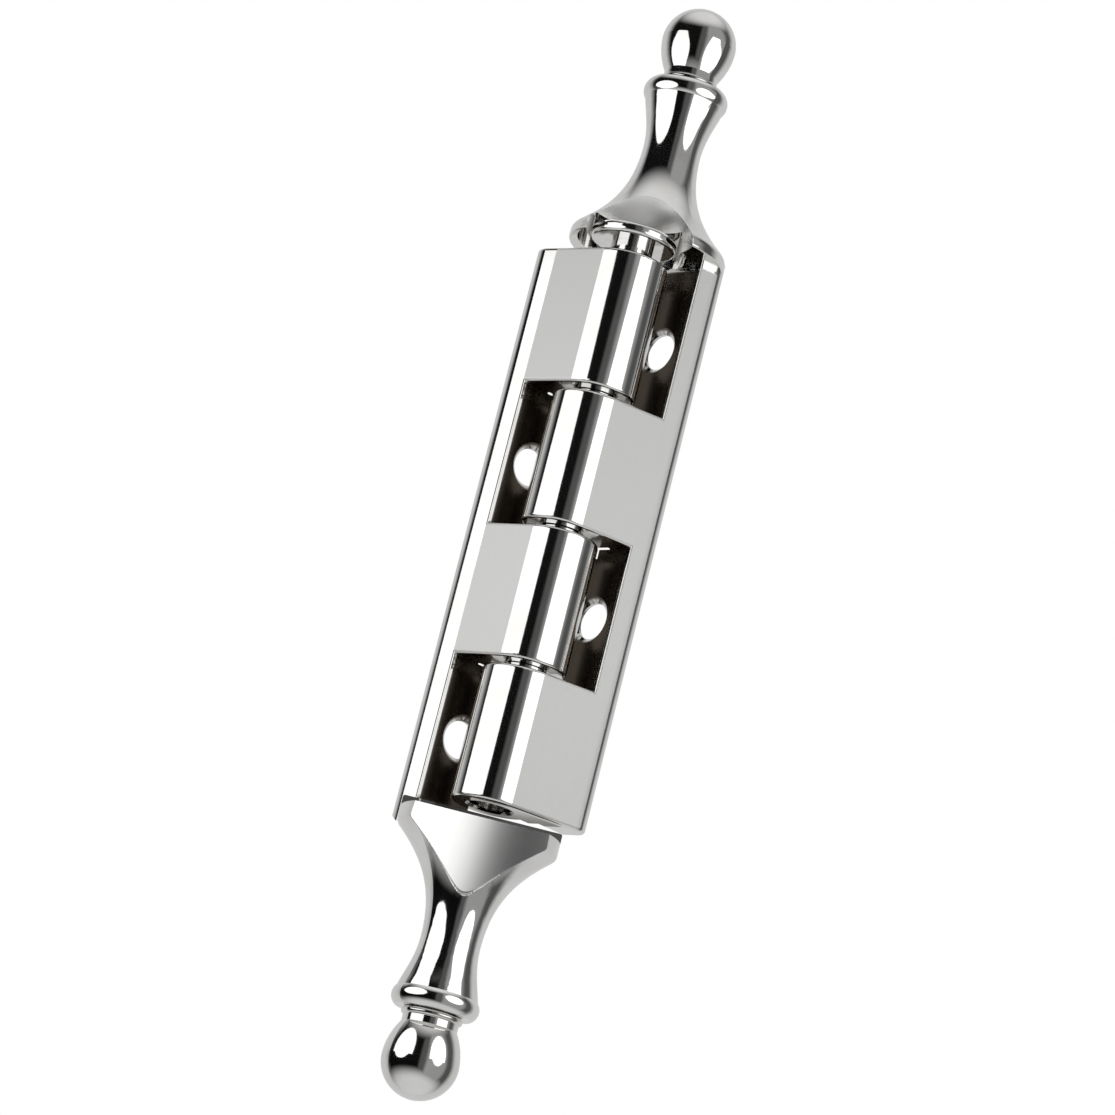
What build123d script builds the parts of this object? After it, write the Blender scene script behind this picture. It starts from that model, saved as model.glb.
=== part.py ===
"""Decorative screw-on hinge: two cast leaves with finials, turning on one headed pin.

All sizes are in millimetres. Z runs along the pin, the origin is on the pin axis in the middle
of the knuckles, and +Y runs to the mounting face of the frame leaf. The door leaf stands
opened from it.

Each leaf is drawn in its own frame: u runs outward across its mounting face, w runs from the
pin axis to its mounting face, and the third axis runs towards its own finial. The frame leaf
is the door leaf turned over end for end.
"""
from build123d import *
from math import cos, radians, sin, sqrt, tan
import os

# Opening at which the hinge stands, from closed, in degrees
opening = 84.0

# Knuckles
knuckle_pitch = 16.0
knuckle_gap = 0.76
barrel_r = 4.55
end_round = 0.4
frame_end_extra = 0.8

# Leaf section
flank_flare = 13.3
mount_depth = 9.75
corner_r = 2.1
web_inset = 1.9
web_blend_r = 0.5
mid_clearance = 0.3

# Screw pockets beside the other leaf's knuckles
floor_depth = 6.1
floor_thickness = 1.0
tongue_clearance = 0.3
sweep_clearance = 0.3
lip_height = 0.6
lip_width = 0.65
lip_round = 0.25
outer_wall = 1.7
core_end_wall = 2.5

# Screw holes
hole_r = 2.1
hole_inset = 1.37
hole_shift = 0.2
countersink_r = 2.75
countersink_angle = 90

# Pin and its bores
pin_r = 2.4
running_clearance = 0.055
bore_chamfer = 0.3
pin_recess = 1.6
pin_chamfer = 0.4
head_r = 4.95
head_thickness = 1.3
head_round = 0.5
head_lift = 1.9

# Caps, by the height of their faces over the last knuckle beside them
cap_gap_door = 1.7
cap_gap_frame = 0.76
cap_step = 1.22
cap_step_back = 0.5
head_pocket_clearance = 1.35
head_pocket_headroom = 0.5

# Finial, as heights from the middle of the hinge and radii about its own axis
finial_offset_door = 2.3
finial_offset_frame = 0.9
mouth_r = 8.9
mouth_rise = 1.18
mouth_round = 0.8
lip_edge_round = 0.25
flare_angle = 49.0
flare_start = 4.75
flare_end = 5.3
waist_r = 3.28
waist_height = 46.8
waist_ease = 2.4
collar_r = 4.85
collar_height = 53.6
collar_start_r = 4.5
collar_start_drop = 1.0
collar_lean = 0.38
collar_ease = 1.5
collar_top_r = 4.25
collar_top_rise = 1.05
bead_r = 3.4
bead_height = 0.8
neck_r = 3.08
neck_drop = 3.8
ball_r = 4.25
ball_height = 60.0
ball_under_r = 7.72

# Scoop in front of the pin's head, a round channel that rises out of the door leaf's cap
scoop_r = 6.7
scoop_tilt = 39.0
scoop_back = 4.0
scoop_start_height = 30.2
scoop_shift = 0.6

# Flat face in front of the frame leaf's cap, by its distance from the finial's axis at the mouth
face_reach = 4.75
face_turn = 36.0
face_lean = 5.9
face_clearance = 10.0

# Heights shared by both leaves, measured towards a leaf's own finial
half_gap = knuckle_gap / 2
stack_end = 2 * knuckle_pitch - half_gap
pocket_middles = (-0.5 * knuckle_pitch, 1.5 * knuckle_pitch)

# Ends and caps of the two leaves, each towards its own finial
ends = {"door_leaf": -stack_end, "frame_leaf": -stack_end - frame_end_extra}
cap_faces = {
    "door_leaf": stack_end + frame_end_extra + cap_gap_door,
    "frame_leaf": stack_end + cap_gap_frame,
}
mouth_height = max(cap_faces.values()) + mouth_rise

head_top = stack_end + frame_end_extra + head_lift + head_thickness
running_bore_r = pin_r + running_clearance
core_depth = floor_depth + floor_thickness

# Points of the section
tangent_u = barrel_r * cos(radians(flank_flare))
tangent_w = -barrel_r * sin(radians(flank_flare))
flank_slope = tan(radians(flank_flare))
web_start = sqrt(barrel_r**2 - mid_clearance**2)
web_step = floor_depth - sweep_clearance
tongue_reach = web_inset - tongue_clearance


def flank_u(w):
    """Where the flat flank of a leaf lies at a depth w."""
    return tangent_u + (w - tangent_w) * flank_slope


lip_inner = flank_u(floor_depth) - lip_width
lip_outer = flank_u(floor_depth - lip_height)

# Points of the finial's profile
flare_rim = (mouth_r, mouth_height)
flare_lean = radians(flare_angle)
shoulder_foot = (mouth_r + flare_start * sin(flare_lean), mouth_height - flare_start * cos(flare_lean))
waist = (waist_r, waist_height)
collar_start = (collar_start_r, collar_height - collar_start_drop)
collar_top = (collar_top_r, collar_height + collar_top_rise)
neck_height = ball_height - neck_drop
bead_foot = (neck_r, collar_top[1])
bead_middle = (bead_r, collar_top[1] + bead_height / 2)
bead_top = (neck_r, collar_top[1] + bead_height)
flare_curve = (
    flare_rim,
    (mouth_r - flare_start * sin(flare_lean), mouth_height + flare_start * cos(flare_lean)),
    (waist_r, waist_height - flare_end),
    waist,
)
collar_curve = (
    waist,
    (waist_r, waist_height + waist_ease),
    (collar_start_r - collar_lean, collar_start[1] - collar_ease),
    collar_start,
)


def nearest(vertices, u, w):
    """The corner of a sketch that lies nearest to a point."""
    return vertices.sort_by_distance((u, w, 0))[0]


def facing(frame, origin, angle):
    """A leaf's frame at another origin, turned towards the hinge's front by an angle."""
    turn = radians(angle)
    return Plane(origin, x_dir=frame.x_dir * cos(turn) + frame.y_dir * sin(turn), z_dir=frame.z_dir)


door_turn = radians(opening)
door_plane = Plane((0, 0, 0), x_dir=(cos(door_turn), -sin(door_turn), 0), z_dir=(0, 0, 1))
frame_plane = Plane((0, 0, 0), x_dir=(-1, 0, 0), z_dir=(0, 0, -1))

# The pin is pressed into the frame leaf and turns in the door leaf, whose cap clears its head
castings = (
    ("door_leaf", door_plane, finial_offset_door, running_bore_r, True),
    ("frame_leaf", frame_plane, finial_offset_frame, pin_r, False),
)

os.makedirs("parts", exist_ok=True)

for name, frame, finial_offset, bore_r, holds_head in castings:
    cap_face = cap_faces[name]
    leaf_end = ends[name]

    # Knuckles with their webs, full depth down to the mounting face and rounded at both ends
    knuckles = []
    for start, end in ((leaf_end, -knuckle_pitch - half_gap), (half_gap, knuckle_pitch - half_gap)):
        with BuildPart() as knuckle:
            with BuildSketch(frame.offset(start)) as section:
                Circle(barrel_r)
                with BuildLine():
                    Polyline(
                        (0, 0),
                        (tangent_u, tangent_w),
                        (flank_u(mount_depth), mount_depth),
                        (web_inset, mount_depth),
                        (web_inset, web_step),
                        (mid_clearance, web_step),
                        (mid_clearance, web_start),
                        close=True,
                    )
                make_face()
                fillet(nearest(section.vertices(), flank_u(mount_depth), mount_depth), corner_r)
                fillet(nearest(section.vertices(), mid_clearance, web_step), web_blend_r)
                Circle(bore_r, mode=Mode.SUBTRACT)
            extrude(amount=end - start)
            end_edges = knuckle.faces().filter_by(Axis.Z).edges()
            fillet(end_edges.filter_by(lambda edge: not edge.is_closed), end_round)
            chamfer(end_edges.filter_by(lambda edge: edge.is_closed), bore_chamfer)
        knuckles.append(knuckle.part)

    # Cap and finial, turned about their own axis
    with BuildPart() as cap:
        finial_origin = frame.from_local_coords((0, finial_offset, 0))
        with BuildSketch(Plane(finial_origin, x_dir=frame.x_dir, z_dir=-frame.y_dir)) as profile:
            with BuildLine():
                Line((0, cap_face), (mouth_r, cap_face))
                Line((mouth_r, cap_face), flare_rim)
                Bezier(*flare_curve)
                Bezier(*collar_curve)
                ThreePointArc(collar_start, (collar_r, collar_height), collar_top)
                Line(collar_top, bead_foot)
                ThreePointArc(bead_foot, bead_middle, bead_top)
                Line(bead_top, (neck_r, neck_height))
                RadiusArc((neck_r, neck_height), (ball_r, ball_height), -ball_under_r)
                RadiusArc((ball_r, ball_height), (0, ball_height + ball_r), -ball_r)
                Line((0, ball_height + ball_r), (0, cap_face))
            make_face()
            fillet(nearest(profile.vertices(), *flare_rim), mouth_round)
            fillet(nearest(profile.vertices(), mouth_r, cap_face), lip_edge_round)
        revolve(axis=Axis(finial_origin, frame.z_dir))

    # Corner of the leaf, carried up under the flare where it stands out past the round mouth
    with BuildPart() as shoulder:
        with BuildSketch(frame.offset(cap_face)) as shoulder_section:
            with BuildLine():
                Polyline(
                    (0, 0),
                    (tangent_u, tangent_w),
                    (flank_u(mount_depth), mount_depth),
                    (0, mount_depth),
                    close=True,
                )
            make_face()
            fillet(nearest(shoulder_section.vertices(), flank_u(mount_depth), mount_depth), corner_r)
        extrude(amount=mouth_height + mouth_r - cap_face)
        with BuildSketch(Plane(finial_origin, x_dir=frame.x_dir, z_dir=-frame.y_dir)):
            with BuildLine():
                Line((0, 0), shoulder_foot)
                Line(shoulder_foot, flare_rim)
                Bezier(*flare_curve)
                Line(waist, (0, waist_height))
                Line((0, waist_height), (0, 0))
            make_face()
        revolve(axis=Axis(finial_origin, frame.z_dir), mode=Mode.INTERSECT)

    with BuildPart() as leaf:
        add(cap.part)
        add(shoulder.part)

        # Flat back of the cap, level with the mounting face
        with BuildSketch(frame.offset(cap_face)):
            with Locations((0, mount_depth + mouth_r)):
                Rectangle(4 * mouth_r, 2 * mouth_r)
        extrude(amount=ball_height, mode=Mode.SUBTRACT)

        if holds_head:
            # Scoop, seen from the front as the tongue below the ogee edge
            lean = radians(scoop_tilt)
            turned = facing(frame, (0, 0, 0), opening / 2)
            scoop_start = (scoop_shift, scoop_back - scoop_r * cos(lean))
            scoop_plane = Plane(
                turned.from_local_coords((*scoop_start, scoop_start_height - scoop_r * sin(lean))),
                x_dir=turned.x_dir,
                z_dir=turned.z_dir * cos(lean) - turned.y_dir * sin(lean),
            )
            with BuildSketch(scoop_plane):
                Circle(scoop_r)
            extrude(amount=ball_height, mode=Mode.SUBTRACT)

            # Round pocket that clears the pin's head
            with BuildSketch(frame.offset(cap_face)):
                Circle(head_r + head_pocket_clearance)
            extrude(amount=head_top + head_pocket_headroom - cap_face, mode=Mode.SUBTRACT)
        else:
            # Step that opens the end of the last knuckle to the front
            with BuildSketch(facing(frame, (0, 0, 0), face_turn).offset(cap_face)):
                with Locations((0, cap_step_back - 2 * mouth_r)):
                    Rectangle(4 * mouth_r, 4 * mouth_r)
            extrude(amount=cap_step, mode=Mode.SUBTRACT)

            # Flat face, which leaves the ogee edge where it cuts the flare
            lean = radians(face_lean)
            turned = facing(frame, finial_origin, face_turn)
            face_plane = Plane(
                turned.from_local_coords((0, -face_reach, mouth_height)),
                x_dir=turned.x_dir,
                z_dir=turned.z_dir * cos(lean) + turned.y_dir * sin(lean),
            )
            with BuildSketch(face_plane.offset(-face_clearance)):
                with Locations((0, -mouth_r)):
                    Rectangle(4 * mouth_r, 2 * mouth_r)
            extrude(amount=face_clearance + waist_height - mouth_height, mode=Mode.SUBTRACT)

        # Base bar, as deep as the pocket floor and with a low lip along its outer edge
        with BuildSketch(frame.offset(leaf_end + 2 * end_round)) as bar_section:
            with BuildLine():
                Polyline(
                    (web_inset, floor_depth),
                    (lip_inner, floor_depth),
                    (lip_inner, floor_depth - lip_height),
                    (lip_outer, floor_depth - lip_height),
                    (flank_u(mount_depth), mount_depth),
                    (web_inset, mount_depth),
                    close=True,
                )
            make_face()
            fillet(nearest(bar_section.vertices(), flank_u(mount_depth), mount_depth), corner_r)
            fillet(nearest(bar_section.vertices(), lip_outer, floor_depth - lip_height), lip_round)
        extrude(amount=cap_face - leaf_end - 2 * end_round)

        add(knuckles)

        for middle in pocket_middles:
            floor_start = middle - knuckle_pitch / 2 - half_gap
            floor_end = cap_face if middle > 0 else middle + knuckle_pitch / 2 + half_gap
            tongue_start = floor_start + knuckle_gap + tongue_clearance
            tongue_end = cap_face if middle > 0 else floor_end - knuckle_gap - tongue_clearance
            core_end = floor_end - core_end_wall if middle > 0 else tongue_end

            # Floor up to the middle plane, with a tongue behind the other leaf's knuckle
            with BuildSketch(frame.offset(floor_start)):
                with Locations((mid_clearance, floor_depth)):
                    Rectangle(lip_inner - mid_clearance, floor_thickness, align=Align.MIN)
            extrude(amount=floor_end - floor_start)
            with BuildSketch(frame.offset(tongue_start)):
                with Locations((-tongue_reach, floor_depth)):
                    Rectangle(tongue_reach + lip_inner, floor_thickness, align=Align.MIN)
            extrude(amount=tongue_end - tongue_start)

            # Hollow behind the floor, open towards the other leaf
            with BuildSketch(frame.offset(tongue_start)):
                with BuildLine():
                    Polyline(
                        (-2 * tongue_reach, core_depth),
                        (flank_u(core_depth) - outer_wall, core_depth),
                        (flank_u(2 * mount_depth) - outer_wall, 2 * mount_depth),
                        (-2 * tongue_reach, 2 * mount_depth),
                        close=True,
                    )
                make_face()
            extrude(amount=core_end - tongue_start, mode=Mode.SUBTRACT)

        # Countersunk screw holes, sunk from the pocket floors
        floor_origin = frame.from_local_coords((0, floor_depth, 0))
        with Locations(Plane(floor_origin, x_dir=frame.x_dir, z_dir=-frame.y_dir)):
            with Locations(*[(hole_inset, middle + hole_shift) for middle in pocket_middles]):
                CounterSinkHole(hole_r, countersink_r, 2 * floor_thickness, countersink_angle)

    leaf.part.label = name
    export_step(leaf.part, "parts/" + name + ".step")

# Pin with its round head in the cap's pocket, its other end recessed in the last knuckle
with BuildPart() as pin:
    with BuildSketch(Plane.XY.offset(pin_recess - stack_end)):
        Circle(pin_r)
    extrude(amount=head_top - head_thickness + stack_end - pin_recess)
    chamfer(pin.faces().sort_by(Axis.Z)[0].edges(), pin_chamfer)
    with BuildSketch(Plane.XY.offset(head_top - head_thickness)):
        Circle(head_r)
    extrude(amount=head_thickness)
    head_edges = pin.edges().filter_by(GeomType.CIRCLE).group_by(SortBy.RADIUS)[-1]
    fillet(head_edges, head_round)

pin.part.label = "pin"
export_step(pin.part, "parts/pin.step")
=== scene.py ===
"""Looks of the decorative screw-on hinge: bright plating on two cast leaves and a headed pin.

Lengths are in metres, in the frame of the CAD model: Z runs along the pin, the origin is on the
pin axis in the middle of the knuckles and +Y runs to the mounting face of the frame leaf.
"""
import math

import bpy
from mathutils import Matrix, Vector

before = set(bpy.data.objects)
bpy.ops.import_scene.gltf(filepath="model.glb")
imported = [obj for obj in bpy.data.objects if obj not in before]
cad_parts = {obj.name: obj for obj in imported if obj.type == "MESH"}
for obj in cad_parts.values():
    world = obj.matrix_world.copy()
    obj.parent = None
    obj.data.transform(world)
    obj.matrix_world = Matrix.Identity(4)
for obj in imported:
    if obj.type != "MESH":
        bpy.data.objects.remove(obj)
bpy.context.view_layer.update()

MM = 0.001

# Sizes of the casting that the finishes follow, as in the CAD model
DOOR_OPENING = math.radians(84)
BARREL_R = 4.55 * MM
FLANK_FLARE = math.radians(13.3)
FLOOR_DEPTH = 6.1 * MM

# How far back the flanks are satin: on the door leaf, all the way
FRAME_FLAT_DEPTH = 5.5 * MM
DOOR_FLAT_DEPTH = 30 * MM

# Where the flanks end and the fronts of the caps lie, from the middle of the hinge
FLANK_END = 33.5 * MM
CAP_START = 30.0 * MM
CAP_END = 42.5 * MM

# Flat face in front of the frame leaf's cap: its front direction and a point in its plane
FACE_TURN = math.radians(36)
FACE_LEAN = math.radians(5.9)
FACE_OUTWARD = Vector((
    -math.sin(FACE_TURN) * math.cos(FACE_LEAN),
    -math.cos(FACE_TURN) * math.cos(FACE_LEAN),
    -math.sin(FACE_LEAN),
))
FACE_REACH = 4.75 * MM
FACE_SETBACK = 0.9 * MM
FACE_HEIGHT = -35.3 * MM
FACE_POINT = Vector((
    -FACE_REACH * math.sin(FACE_TURN), FACE_SETBACK - FACE_REACH * math.cos(FACE_TURN), FACE_HEIGHT
))

# The face is shaded as slightly crowned, with its ridge off to one side
FACE_ACROSS = Vector((math.cos(FACE_TURN), -math.sin(FACE_TURN), 0))
FACE_CROWN = -20.0
FACE_RIDGE = 7.5 * MM

# Scoop in front of the door leaf's cap: its radius, and two directions across its axis with the
# axis' distance along each
SCOOP_R = 6.7 * MM
SCOOP_TURN = math.radians(42)
SCOOP_LEAN = math.radians(39)
SCOOP_ACROSS = Vector((math.cos(SCOOP_TURN), -math.sin(SCOOP_TURN), 0))
SCOOP_DEEP = Vector((
    math.sin(SCOOP_TURN) * math.cos(SCOOP_LEAN),
    math.cos(SCOOP_TURN) * math.cos(SCOOP_LEAN),
    math.sin(SCOOP_LEAN),
))
SCOOP_AXIS = (0.6 * MM, 15.41 * MM)

# Relief of the cast skin under the plate
RELIEF = 0.005 * MM

# Camera, fitted to the outlines in the photograph
CAMERA_PLACE = Vector((-0.267669, -0.368177, -0.118677))
CAMERA_RIGHT = Vector((0.738993, -0.631504, 0.234718))
CAMERA_UP = Vector((-0.333028, -0.039557, 0.942087))
IMAGE_SIZE = 1115
FOCAL_PIXELS = 4273.83
IMAGE_MIDDLE = (621.56, 607.69)
SENSOR = 36.0

# Two oval softboxes stand round the pin, one at each side of the camera: their azimuth from the
# camera, the height of their middle, their width and their height
LAMP_DISTANCE = 0.145
LAMPS = (
    ("softbox_left", math.radians(-60), 0.014, 0.19, 0.18),
    ("softbox_right", math.radians(50), 0.014, 0.145, 0.18),
)
LAMP_RADIANCE = 1.35
FLOOR_HEIGHT = -0.22


class Value:
    """A socket of a shader tree that can be used in a Python expression."""

    def __init__(self, maker, socket):
        self.maker = maker
        self.socket = socket

    def math(self, operation, *others):
        return self.maker.node("ShaderNodeMath", {"operation": operation}, self, *others)

    def __add__(self, other):
        return self.math("ADD", other)

    def __radd__(self, other):
        return self.math("ADD", other)

    def __sub__(self, other):
        return self.math("SUBTRACT", other)

    def __rsub__(self, other):
        return self.maker.node("ShaderNodeMath", {"operation": "SUBTRACT"}, other, self)

    def __mul__(self, other):
        return self.math("MULTIPLY", other)

    def __rmul__(self, other):
        return self.math("MULTIPLY", other)

    def __truediv__(self, other):
        return self.math("DIVIDE", other)

    def __abs__(self):
        return self.math("ABSOLUTE")

    def squared(self):
        return self.math("MULTIPLY", self)

    def root(self):
        return self.math("SQRT")

    def most(self, other):
        return self.math("MAXIMUM", other)

    def dot(self, direction):
        """Length of a vector socket along a fixed direction."""
        return self.maker.node(
            "ShaderNodeVectorMath", {"operation": "DOT_PRODUCT"}, self, tuple(direction), out="Value"
        )

    def smooth(self, low, high, start=0.0, end=1.0):
        """Runs smoothly from start, at low, to end, at high."""
        settings = {"interpolation_type": "SMOOTHSTEP", "clamp": True}
        return self.maker.node("ShaderNodeMapRange", settings, self, low, high, start, end, out="Result")


class Shader:
    """The node tree of a material or of the world, built by calls."""

    def __init__(self, tree):
        self.tree = tree
        self.tree.nodes.clear()

    def node(self, kind, settings=None, *inputs, out=0, **named):
        """Adds a node with its settings, then its inputs by order or by name, and gives an output."""
        made = self.tree.nodes.new(kind)
        for name, value in (settings or {}).items():
            setattr(made, name, value)
        pairs = list(zip(made.inputs, inputs))
        pairs += [(made.inputs[name.replace("_", " ")], value) for name, value in named.items()]
        for socket, value in pairs:
            self.feed(socket, value)
        return Value(self, made.outputs[out]) if made.outputs else None

    def feed(self, socket, value):
        """Links a value to a socket, or sets the socket to a number or colour."""
        if isinstance(value, Value):
            self.tree.links.new(value.socket, socket)
        elif isinstance(value, (tuple, list)) and len(value) == 3 and socket.type == "RGBA":
            socket.default_value = (*value, 1.0)
        else:
            socket.default_value = value

    def blend(self, factor, first, second):
        """Mix of two colours."""
        made = self.tree.nodes.new("ShaderNodeMix")
        made.data_type = "RGBA"
        self.feed(made.inputs["Factor"], factor)
        colours = [socket for socket in made.inputs if socket.type == "RGBA"]
        self.feed(colours[0], first)
        self.feed(colours[1], second)
        result = next(socket for socket in made.outputs if socket.type == "RGBA")
        return Value(self, result)

    def place(self):
        return self.node("ShaderNodeTexCoord", out="Object")

    def noise(self, vector, scale, detail=2.0, roughness=0.5):
        return self.node(
            "ShaderNodeTexNoise", None, Vector=vector, Scale=scale, Detail=detail, Roughness=roughness,
            out="Fac"
        )


def new_shader(name):
    material = bpy.data.materials.new(name)
    material.use_nodes = True
    return material, Shader(material.node_tree)


# Finishes, with painted light and shade: the two flats, the scoop and the face are toned one by one to
# the photograph

CHROME = (0.80, 0.80, 0.79)
CHROME_SHADE = (0.74, 0.73, 0.71)
# Satin of the flats, as lit and shaded copies of one finish: painted light on the frame leaf, painted
# shade on the door leaf
FRAME_SATIN_PAINTED_LIGHT = (0.84, 0.84, 0.83)
DOOR_SATIN_PAINTED_SHADE = (0.70, 0.70, 0.69)
# Front face and scoop: painted light, a paler chrome standing in for the light they reflect
FRONT_CHROME_PAINTED_LIGHT = (0.92, 0.92, 0.91)
# Pocket walls: painted shade, a dark brown for the shade inside the pockets
POCKET_PAINTED_SHADE = (0.12, 0.10, 0.08)
GLOSS_ROUGHNESS = 0.045
SATIN_ROUGHNESS = 0.60
RECESS_ROUGHNESS = 0.30
FRONT_ROUGHENING = 0.24
CAST_SCALE = 260.0
FINE_SCALE = 2600.0
GRAIN_SCALE = 5200.0
GRAIN_STRETCH = (1.0, 1.0, 0.16)

# How far from a flat, a front face or an end a finish fades out
FLAT_FADE = (0.04 * MM, 0.12 * MM)
FRONT_FADE = (0.04 * MM, 0.1 * MM)
END_FADE = 0.3 * MM
POCKET_START = -1.0 * MM
POCKET_WALL = (0.9 * MM, 1.3 * MM)


def plated(name, outward, backward, satin_colour_with_painted_light, flat_depth, faced=False):
    """Chrome plate on one leaf, from the outward and backward directions of its section.

    The flats are satin as far back as flat_depth. The front of the cap is a flat face or a scoop.
    """
    material, shader = new_shader(name)
    place = shader.place()
    out = place.dot(outward)
    back = place.dot(backward)

    # Linished flats on the flanks, from the line where they leave the barrel
    tangent_out = BARREL_R * math.cos(FLANK_FLARE)
    tangent_back = -BARREL_R * math.sin(FLANK_FLARE)
    flank = tangent_out + (back - tangent_back) * math.tan(FLANK_FLARE)
    from_middle = abs(place.dot((0, 0, 1)))
    on_leaf = from_middle.smooth(FLANK_END, FLANK_END + END_FADE, 1.0, 0.0)
    on_cap = from_middle.smooth(CAP_END, CAP_END + END_FADE, 1.0, 0.0)
    on_cap = on_cap * from_middle.smooth(CAP_START - END_FADE, CAP_START)
    on_flank = abs(out - flank).smooth(*FLAT_FADE, 1.0, 0.0) * on_leaf
    flat = on_flank * back.smooth(tangent_back, tangent_back + 0.05 * MM)
    flat = flat * back.smooth(flat_depth, flat_depth + 0.06 * MM, 1.0, 0.0)

    # Flat face or scoop in front of the cap: painted light, coloured brighter than the flanks for the
    # light they reflect, and rougher
    if faced:
        off_front = abs(place.dot(FACE_OUTWARD) - FACE_OUTWARD.dot(FACE_POINT))
    else:
        from_axis = place.dot(SCOOP_ACROSS) - SCOOP_AXIS[0]
        into_cap = place.dot(SCOOP_DEEP) - SCOOP_AXIS[1]
        off_front = abs((from_axis.squared() + into_cap.squared()).root() - SCOOP_R)
    front = off_front.smooth(*FRONT_FADE, 1.0, 0.0) * on_cap * (1 - flat)

    # Pocket walls: painted shade, coloured dark brown for the shade inside the pockets, and given a
    # duller, rougher plate
    depth = back.smooth(POCKET_START, FLOOR_DEPTH)
    above_floor = back.smooth(FLOOR_DEPTH + 0.1 * MM, FLOOR_DEPTH + 0.4 * MM, 1.0, 0.0)
    inside = (flank - out).smooth(*POCKET_WALL)
    hidden = depth * above_floor * inside * on_leaf

    cast = shader.noise(place, CAST_SCALE, 3.0)
    fine = shader.noise(place, FINE_SCALE, 2.0)
    grain_place = shader.node(
        "ShaderNodeVectorMath", {"operation": "MULTIPLY"}, place, GRAIN_STRETCH
    )
    grain = shader.noise(grain_place, GRAIN_SCALE, 3.0, 0.7)

    bright = shader.blend(cast.smooth(0.35, 0.7), CHROME, CHROME_SHADE)
    plate = shader.blend(front, shader.blend(flat, bright, satin_colour_with_painted_light), FRONT_CHROME_PAINTED_LIGHT)
    colour = shader.blend(hidden * (1 - front), plate, POCKET_PAINTED_SHADE)
    gloss = GLOSS_ROUGHNESS + 0.03 * fine + 0.02 * cast
    satin = SATIN_ROUGHNESS + 0.08 * grain
    roughness = gloss + (satin - gloss) * flat + (RECESS_ROUGHNESS - gloss) * hidden * 0.7
    roughness = roughness + FRONT_ROUGHENING * front
    height = (cast * 0.6 + fine * 0.05 + grain * flat * 0.25) * RELIEF
    if faced:
        height = height + front * (place.dot(FACE_ACROSS) - FACE_RIDGE).squared() * FACE_CROWN
    normal = shader.node(
        "ShaderNodeBump", None, Strength=1.0, Distance=1.0, Height=height, out="Normal"
    )
    surface = shader.node(
        "ShaderNodeBsdfPrincipled", None, Base_Color=colour, Metallic=1.0, Roughness=roughness,
        Normal=normal
    )
    shader.node("ShaderNodeOutputMaterial", None, surface)
    return material


def turned_steel():
    """Chrome on the turned pin, with faint rings from the lathe."""
    material, shader = new_shader("turned_steel")
    place = shader.place()
    rings = shader.node("ShaderNodeVectorMath", {"operation": "MULTIPLY"}, place, (0.02, 0.02, 1.0))
    turning = shader.noise(rings, 5200.0, 2.0)
    cast = shader.noise(place, 700.0, 2.0)
    colour = shader.blend(cast.smooth(0.3, 0.7), CHROME, CHROME_SHADE)
    normal = shader.node(
        "ShaderNodeBump", None, Strength=0.2, Distance=0.00001, Height=turning, out="Normal"
    )
    surface = shader.node(
        "ShaderNodeBsdfPrincipled", None, Base_Color=colour, Metallic=1.0,
        Roughness=0.07 + 0.05 * turning, Normal=normal
    )
    shader.node("ShaderNodeOutputMaterial", None, surface)
    return material


def finish_node(node, material):
    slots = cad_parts[node].material_slots
    for slot in slots:
        slot.material = material


door_out = Vector((math.cos(DOOR_OPENING), -math.sin(DOOR_OPENING), 0))
door_back = Vector((math.sin(DOOR_OPENING), math.cos(DOOR_OPENING), 0))
finish_node("door_leaf", plated("door_plate", door_out, door_back, DOOR_SATIN_PAINTED_SHADE, DOOR_FLAT_DEPTH))
frame_out, frame_back = Vector((-1, 0, 0)), Vector((0, 1, 0))
finish_node(
    "frame_leaf",
    plated("frame_plate", frame_out, frame_back, FRAME_SATIN_PAINTED_LIGHT, FRAME_FLAT_DEPTH, faced=True),
)
finish_node("pin", turned_steel())


# Studio

camera_back = CAMERA_RIGHT.cross(CAMERA_UP).normalized()


# The studio's own directions are level ones, round the pin
studio_up = Vector((0, 0, 1))
studio_near = Vector((camera_back.x, camera_back.y, 0)).normalized()
studio_right = studio_up.cross(studio_near)


def add_lamp(name, azimuth, rise, width, height):
    """Softbox at one side of the camera, facing the pin."""
    towards = studio_right * math.sin(azimuth) + studio_near * math.cos(azimuth)
    light = bpy.data.lights.new(name, "AREA")
    light.shape = "ELLIPSE"
    light.size, light.size_y = width, height
    area = math.pi / 4 * width * height
    light.energy = LAMP_RADIANCE * math.pi * area
    lamp = bpy.data.objects.new(name, light)
    bpy.context.scene.collection.objects.link(lamp)
    turn = Matrix((studio_up.cross(towards), studio_up, towards)).transposed()
    lamp.matrix_world = Matrix.Translation(towards * LAMP_DISTANCE + studio_up * rise) @ turn.to_4x4()
    lamp.visible_camera = False
    return lamp


for lamp in LAMPS:
    add_lamp(*lamp)

world = bpy.data.worlds.new("studio")
bpy.context.scene.world = world
world.use_nodes = True
sky = Shader(world.node_tree)
direction = sky.node("ShaderNodeTexCoord", out="Generated")
near = direction.dot(studio_near)
height = direction.dot(studio_up)
across = direction.dot(studio_right)
sideways = across / near.most(0.2)
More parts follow.
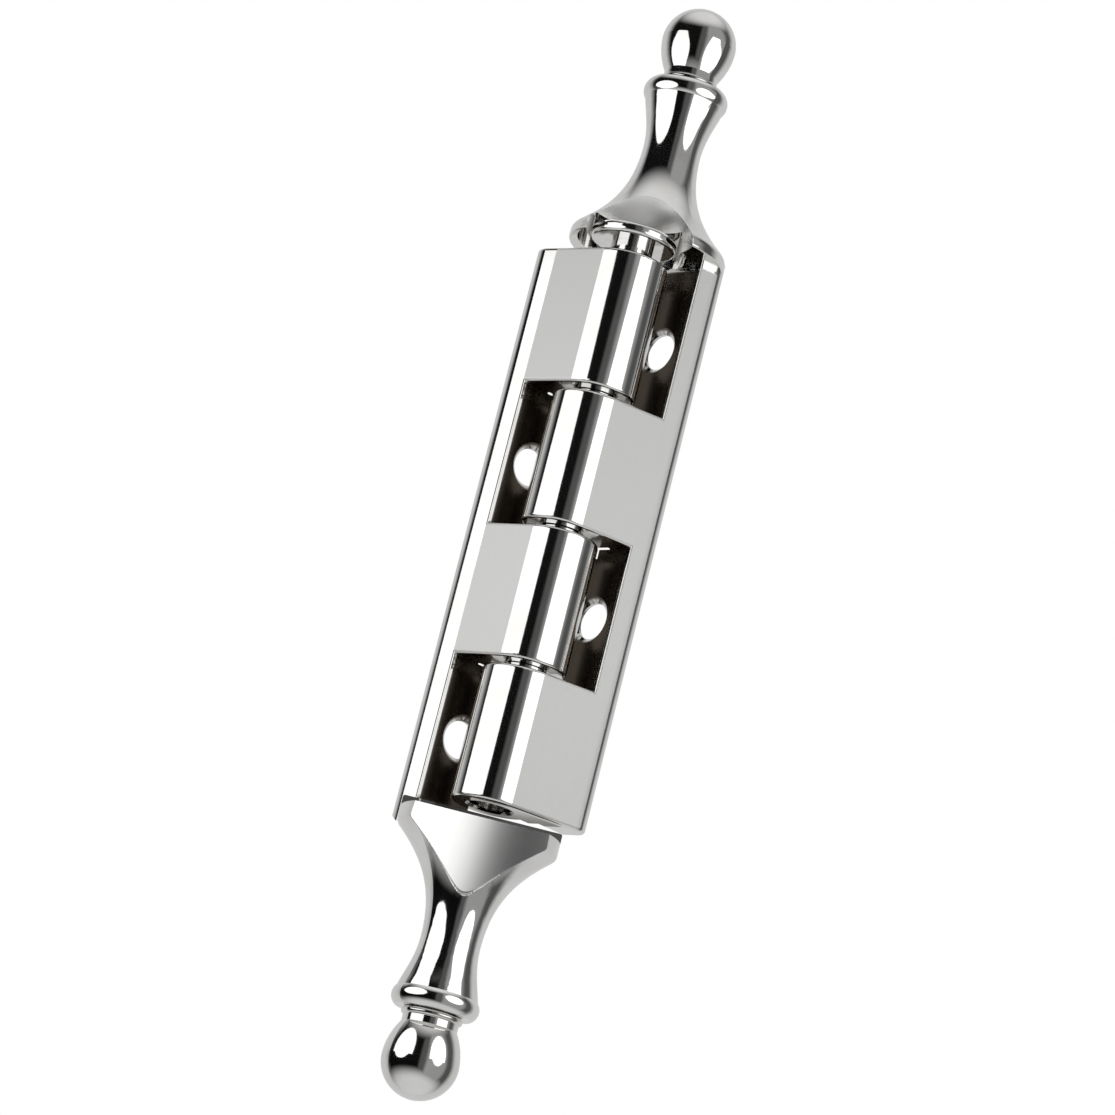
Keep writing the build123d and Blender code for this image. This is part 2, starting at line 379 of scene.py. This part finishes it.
# A dark room in front of the hinge, pale above, below and behind, which only reflections see
right_glow = sideways.smooth(0.2, 0.45, 0.0, 0.25) * near.smooth(-0.02, 0.25)
glow = 0.004 + 0.09 * sideways.smooth(-0.12, 0.05) + right_glow
ceiling = height.smooth(0.62, 0.98, 0.0, 0.8)
ground = height.smooth(-0.9, -0.35, 0.7, 0.0)
far_wall = near.smooth(-0.6, -0.1, 0.65, 0.0)
room = glow.most(ceiling).most(ground).most(far_wall)
reflected = sky.node("ShaderNodeCombineColor", None, room, room, room)
ray = sky.node("ShaderNodeLightPath", out="Is Glossy Ray")
shade = sky.blend(ray, (1.0, 1.0, 1.0), reflected)
background = sky.node("ShaderNodeBackground", None, shade, 1.0)
sky.node("ShaderNodeOutputWorld", None, background)


def add_floor():
    """Plain pale floor, well below the hinge, which hangs by its mounting face."""
    size = 6.0
    corners = [(-size, -size), (size, -size), (size, size), (-size, size)]
    mesh = bpy.data.meshes.new("floor")
    mesh.from_pydata([(x, y, FLOOR_HEIGHT) for x, y in corners], [], [(0, 1, 2, 3)])
    floor = bpy.data.objects.new("floor", mesh)
    bpy.context.scene.collection.objects.link(floor)
    material, shader = new_shader("floor_paint")
    grain = shader.noise(shader.place(), 40.0, 3.0)
    colour = shader.blend(grain, (0.86, 0.86, 0.86), (0.88, 0.88, 0.88))
    surface = shader.node("ShaderNodeBsdfDiffuse", None, colour)
    shader.node("ShaderNodeOutputMaterial", None, surface)
    mesh.materials.append(material)
    floor.visible_glossy = False


add_floor()

# Camera
lens = bpy.data.cameras.new("camera")
lens.sensor_width = SENSOR
lens.lens = FOCAL_PIXELS / IMAGE_SIZE * SENSOR
lens.shift_x = (IMAGE_SIZE / 2 - IMAGE_MIDDLE[0]) / IMAGE_SIZE
lens.shift_y = (IMAGE_MIDDLE[1] - IMAGE_SIZE / 2) / IMAGE_SIZE
camera = bpy.data.objects.new("camera", lens)
bpy.context.scene.collection.objects.link(camera)
axes = Matrix((CAMERA_RIGHT, CAMERA_UP, camera_back)).transposed()
camera.matrix_world = Matrix.Translation(CAMERA_PLACE) @ axes.to_4x4()
bpy.context.scene.camera = camera
bpy.context.scene.view_settings.view_transform = "Standard"
